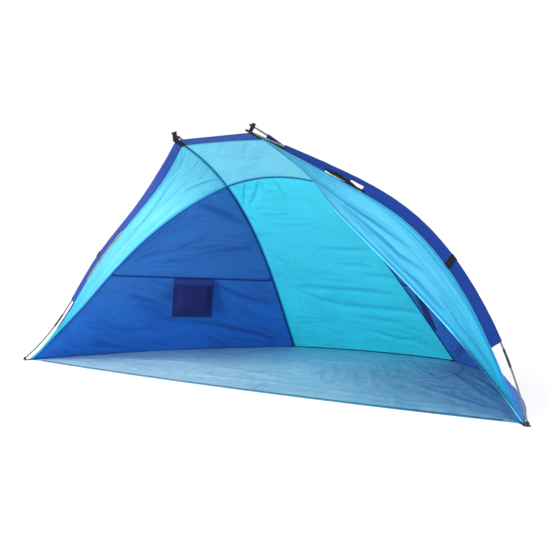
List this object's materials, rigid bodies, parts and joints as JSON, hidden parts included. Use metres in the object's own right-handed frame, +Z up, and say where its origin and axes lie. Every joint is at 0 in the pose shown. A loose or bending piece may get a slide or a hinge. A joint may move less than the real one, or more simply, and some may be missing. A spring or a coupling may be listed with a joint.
{
  "type": "beach shelter",
  "caption": "Open-fronted shell shelter for the beach: curved fabric panels on four bent poles in sleeves, with side walls, wall pockets and a groundsheet.",
  "frame": {"origin": "on the ground, midway between the feet of the two front poles, on the underside of the groundsheet", "axes": "+X to the right seen from the open front, +Y to the back, +Z up"},
  "size_m": [2.7096, 1.4358, 1.1067],
  "materials": {
    "cyan_fabric": "matt coated polyester",
    "pale_cyan_fabric": "matt coated polyester, lit through",
    "blue_fabric": "matt coated polyester",
    "navy_fabric": "matt coated polyester",
    "woven_floor": "shiny woven polyethylene",
    "seam_tape": "matt binding tape",
    "pocket_mesh": "fine mesh",
    "pocket_trim": "matt woven trim",
    "fibreglass": "satin drawn fibreglass",
    "dark_steel": "black painted tube",
    "bright_steel": "plated",
    "black_plastic": "satin moulded",
    "black_webbing": "woven webbing"
  },
  "bodies": {
    "root": {"back_wall": "cyan_fabric", "corner_eyelets": "bright_steel", "front_corner_tab_left": "black_webbing", "front_corner_tab_right": "black_webbing", "front_ferrules_left": "dark_steel", "front_ferrules_right": "dark_steel", "front_foot_pin_left": "black_plastic", "front_foot_pin_right": "black_plastic", "front_pole_cap_left": "black_plastic", "front_pole_cap_right": "black_plastic", "front_pole_left": "fibreglass", "front_pole_right": "fibreglass", "front_sleeve_left": "navy_fabric", "front_sleeve_right": "navy_fabric", "groundsheet": "woven_floor", "groundsheet_front_hem": "navy_fabric", "peak_strap_left": "black_webbing", "peak_strap_right": "black_webbing", "pocket_left": "pocket_mesh", "pocket_right": "pocket_mesh", "pocket_sheet_left": "pocket_trim", "pocket_sheet_right": "pocket_trim", "rear_corner_tab_left": "black_webbing", "rear_corner_tab_right": "black_webbing", "rear_ferrules_left": "dark_steel", "rear_ferrules_right": "dark_steel", "rear_foot_pin_left": "black_plastic", "rear_foot_pin_right": "black_plastic", "rear_pole_cap_left": "black_plastic", "rear_pole_cap_right": "black_plastic", "rear_pole_left": "fibreglass", "rear_pole_right": "fibreglass", "rib_binding_left": "seam_tape", "rib_binding_right": "seam_tape", "rib_sleeve_left": "navy_fabric", "rib_sleeve_right": "navy_fabric", "ridge_binding": "seam_tape", "roof_front_hem": "navy_fabric", "roof_panel": "pale_cyan_fabric", "side_seam_tape_left": "seam_tape", "side_seam_tape_right": "seam_tape", "side_wall_lower_left": "blue_fabric", "side_wall_lower_right": "blue_fabric", "side_wall_upper_left": "blue_fabric", "side_wall_upper_right": "blue_fabric", "sleeve_strap_left": "black_webbing", "sleeve_strap_right": "black_webbing", "wing_binding_left": "seam_tape", "wing_binding_right": "seam_tape", "wing_left": "cyan_fabric", "wing_right": "cyan_fabric"}
  },
  "joints": []
}
